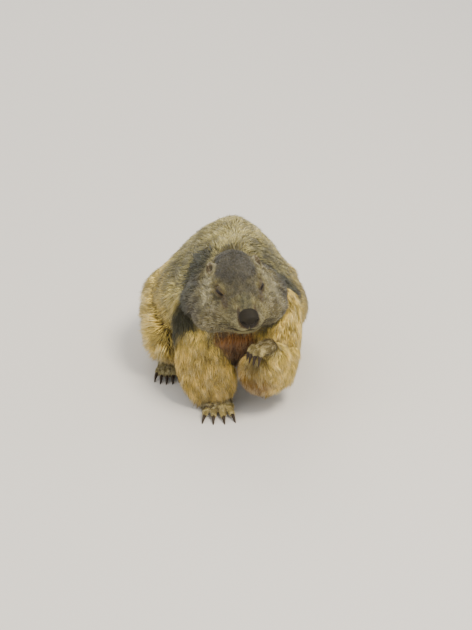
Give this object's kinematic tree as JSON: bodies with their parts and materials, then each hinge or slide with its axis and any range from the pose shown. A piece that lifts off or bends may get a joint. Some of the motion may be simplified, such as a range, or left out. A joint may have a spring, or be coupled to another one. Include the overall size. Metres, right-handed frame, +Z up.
{
  "type": "alpine marmot",
  "caption": "Still life-size alpine marmot, crouched on its hind feet with one forepaw planted and the other lifted to its mouth, its tail laid on the floor.",
  "frame": {"origin": "middle of the model's box, on the floor that the soles, rump and tail rest on", "axes": "+Z up, the animal faces -Y, its left side is +X, the tail lies towards +Y"},
  "size_m": [0.1934, 0.409, 0.1806],
  "materials": {
    "fur_dark": "short dense dark grey fur",
    "fur_grizzled": "dense fur, grizzled by pale tips",
    "fur_buff": "soft yellow-buff fur",
    "fur_rufous": "soft orange-brown fur",
    "nose_skin": "moist grained dark skin",
    "claw_horn": "smooth dark horn",
    "eye": "wet dark brown eye"
  },
  "bodies": {
    "root": {"abdomen": "fur_grizzled", "chest": "fur_rufous", "ear_left": "fur_grizzled", "ear_right": "fur_grizzled", "eye_left": "eye", "eye_right": "eye", "forearm_left": "fur_buff", "forearm_right": "fur_buff", "foreclaw_left_1": "claw_horn", "foreclaw_left_2": "claw_horn", "foreclaw_left_3": "claw_horn", "foreclaw_left_4": "claw_horn", "foreclaw_right_1": "claw_horn", "foreclaw_right_2": "claw_horn", "foreclaw_right_3": "claw_horn", "foreclaw_right_4": "claw_horn", "forepaw_left": "fur_buff", "forepaw_right": "fur_buff", "head": "fur_dark", "hind_claw_left_1": "claw_horn", "hind_claw_left_2": "claw_horn", "hind_claw_left_3": "claw_horn", "hind_claw_left_4": "claw_horn", "hind_claw_left_5": "claw_horn", "hind_claw_right_1": "claw_horn", "hind_claw_right_2": "claw_horn", "hind_claw_right_3": "claw_horn", "hind_claw_right_4": "claw_horn", "hind_claw_right_5": "claw_horn", "hind_foot_left": "fur_buff", "hind_foot_right": "fur_buff", "lower_jaw": "fur_dark", "neck": "fur_grizzled", "nose": "nose_skin", "rump": "fur_grizzled", "shank_left": "fur_buff", "shank_right": "fur_buff", "tail_base": "fur_grizzled", "tail_end": "fur_dark", "thigh_left": "fur_grizzled", "thigh_right": "fur_grizzled", "upper_arm_left": "fur_buff", "upper_arm_right": "fur_buff"}
  },
  "joints": []
}
